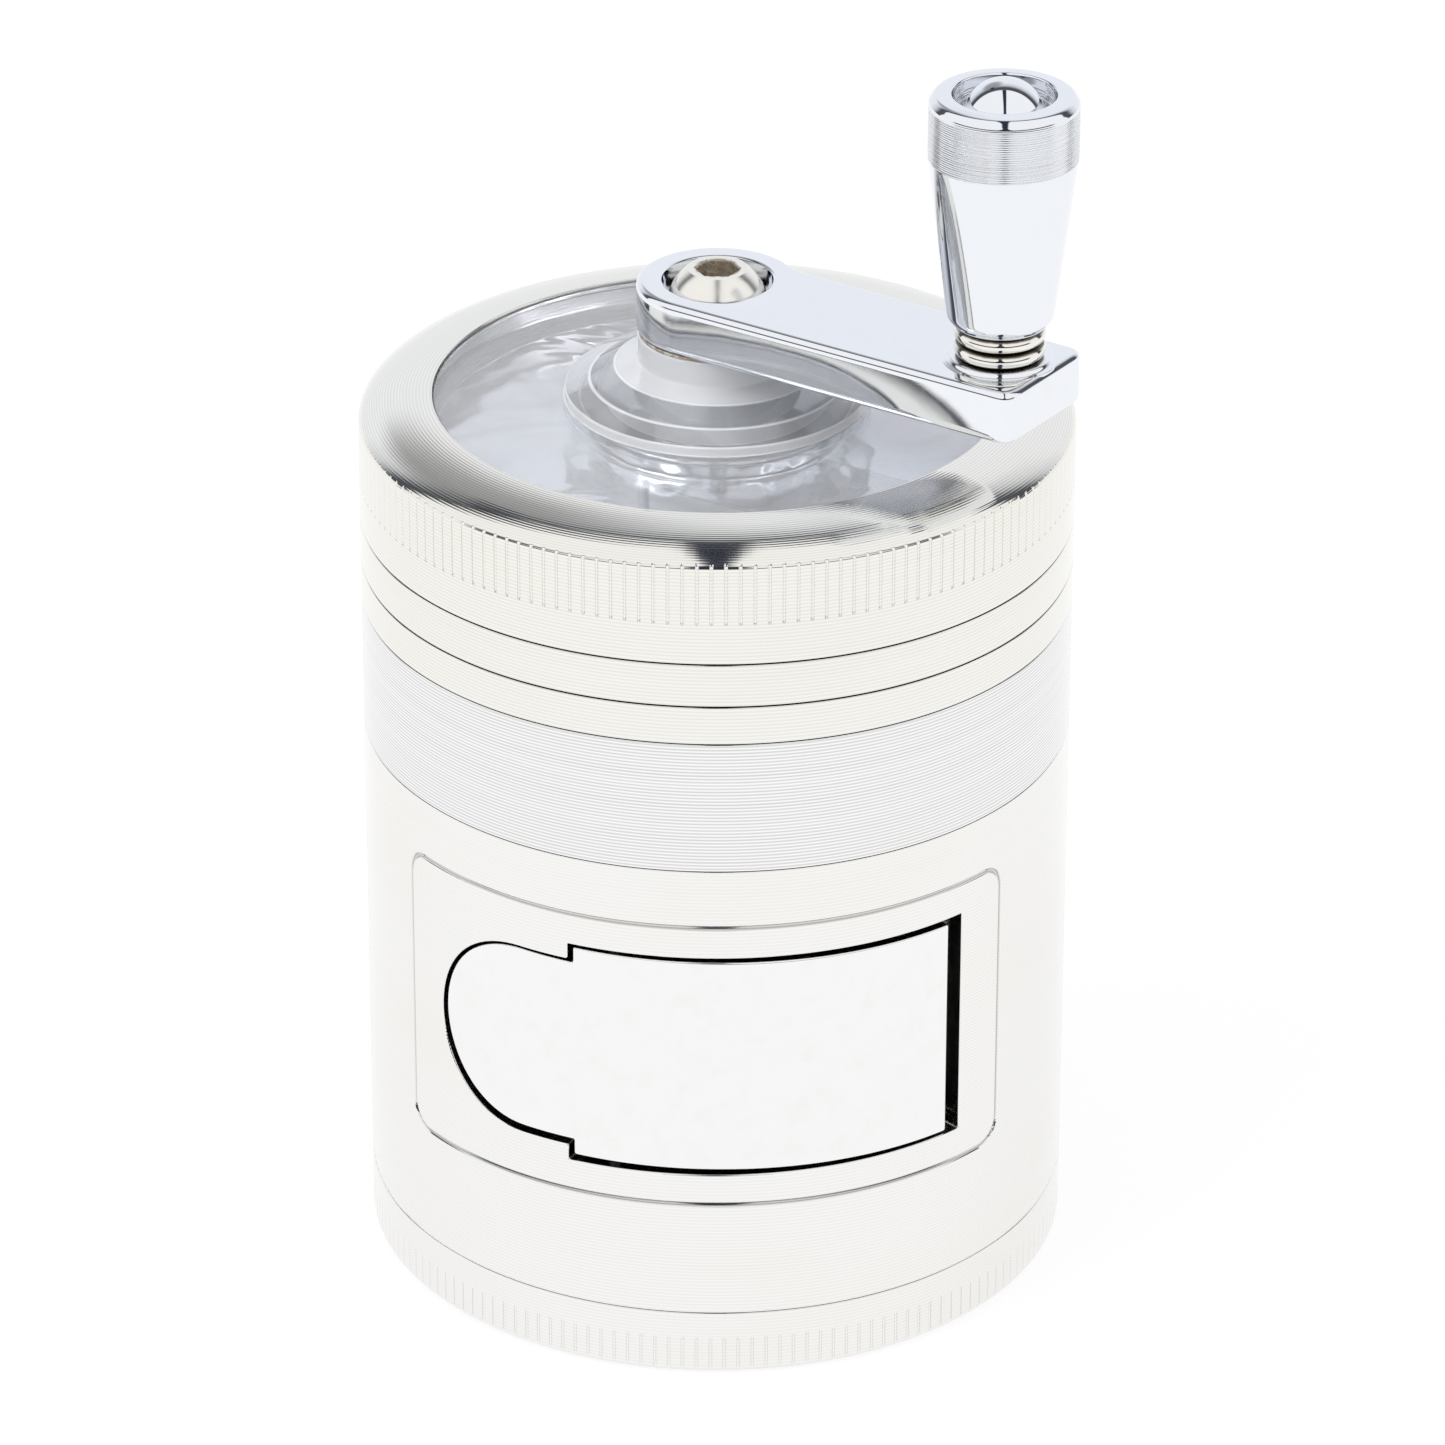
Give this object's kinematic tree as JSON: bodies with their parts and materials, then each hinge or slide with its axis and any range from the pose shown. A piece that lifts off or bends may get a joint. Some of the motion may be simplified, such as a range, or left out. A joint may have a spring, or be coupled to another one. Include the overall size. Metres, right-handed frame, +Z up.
{
  "type": "hand-crank spice grinder",
  "caption": "Hand-crank spice grinder: stacked metal rings with a clear-window lid, a crank with a spinning knob, a sifter and a swing-out drawer in the side.",
  "frame": {"origin": "centre of the base cap's underside, where the grinder stands", "axes": "+Z up along the axis of the rings, -Y out through the middle of the drawer"},
  "size_m": [0.0633, 0.063, 0.1178],
  "materials": {
    "nickel": "fine turned nickel plate",
    "polished_nickel": "polished nickel plate",
    "turned_silver": "turned lines",
    "chrome": "mirror chrome plate",
    "steel": "plain steel",
    "rotor": "plated",
    "magnet": "nickel plated magnet",
    "mesh": "woven wire",
    "nylon": "black nylon",
    "bush": "plated bush",
    "clear": "clear acrylic"
  },
  "bodies": {
    "base": {"base_cap": "nickel"},
    "housing": {"drawer_housing": "nickel", "drawer_pivot_pin": "steel", "catch_magnet": "magnet", "chute_plate": "steel"},
    "drawer": {"drawer_front": "polished_nickel", "drawer_tray": "nickel", "drawer_magnet": "magnet"},
    "collector": {"collector_ring": "turned_silver"},
    "sifter": {"sifter_ring": "nickel", "sieve_mesh": "mesh", "mesh_retainer": "steel"},
    "chamber": {"grinding_chamber": "nickel", "chamber_magnet": "magnet", "chamber_studs": "steel", "slip_ring": "nylon"},
    "lid": {"lid_ring": "nickel", "lid_window": "clear", "window_retainer": "steel", "shaft_bush": "bush"},
    "crank": {"crank_arm": "chrome", "crank_screw": "polished_nickel", "drive_shaft": "steel", "thrust_washer": "polished_nickel", "rotor_disc": "rotor", "rotor_magnet": "magnet", "rotor_studs": "steel", "knob_rings": "polished_nickel", "knob_pin": "chrome"},
    "knob": {"knob": "chrome"}
  },
  "joints": [
    {"name": "housing_lift", "type": "slide", "parent": "base", "child": "housing", "axis": [0, 0, 1], "range_m": [0, 0.025]},
    {"name": "drawer_swing", "type": "hinge", "parent": "housing", "child": "drawer", "pos_m": [-0.00717, -0.02913, 0.0312], "axis": [0, 0, -1], "range_deg": [0, 70]},
    {"name": "collector_lift", "type": "slide", "parent": "housing", "child": "collector", "axis": [0, 0, 1], "range_m": [0, 0.025]},
    {"name": "sifter_lift", "type": "slide", "parent": "collector", "child": "sifter", "axis": [0, 0, 1], "range_m": [0, 0.025]},
    {"name": "chamber_lift", "type": "slide", "parent": "sifter", "child": "chamber", "axis": [0, 0, 1], "range_m": [0, 0.025]},
    {"name": "lid_lift", "type": "slide", "parent": "chamber", "child": "lid", "axis": [0, 0, 1], "range_m": [0, 0.035]},
    {"name": "crank_turn", "type": "hinge", "parent": "lid", "child": "crank", "pos_m": [0, 0, 0.085], "axis": [0, 0, 1], "continuous": true},
    {"name": "knob_spin", "type": "hinge", "parent": "crank", "child": "knob", "pos_m": [0.0249, -0.01526, 0.105], "axis": [0, 0, 1], "continuous": true}
  ]
}
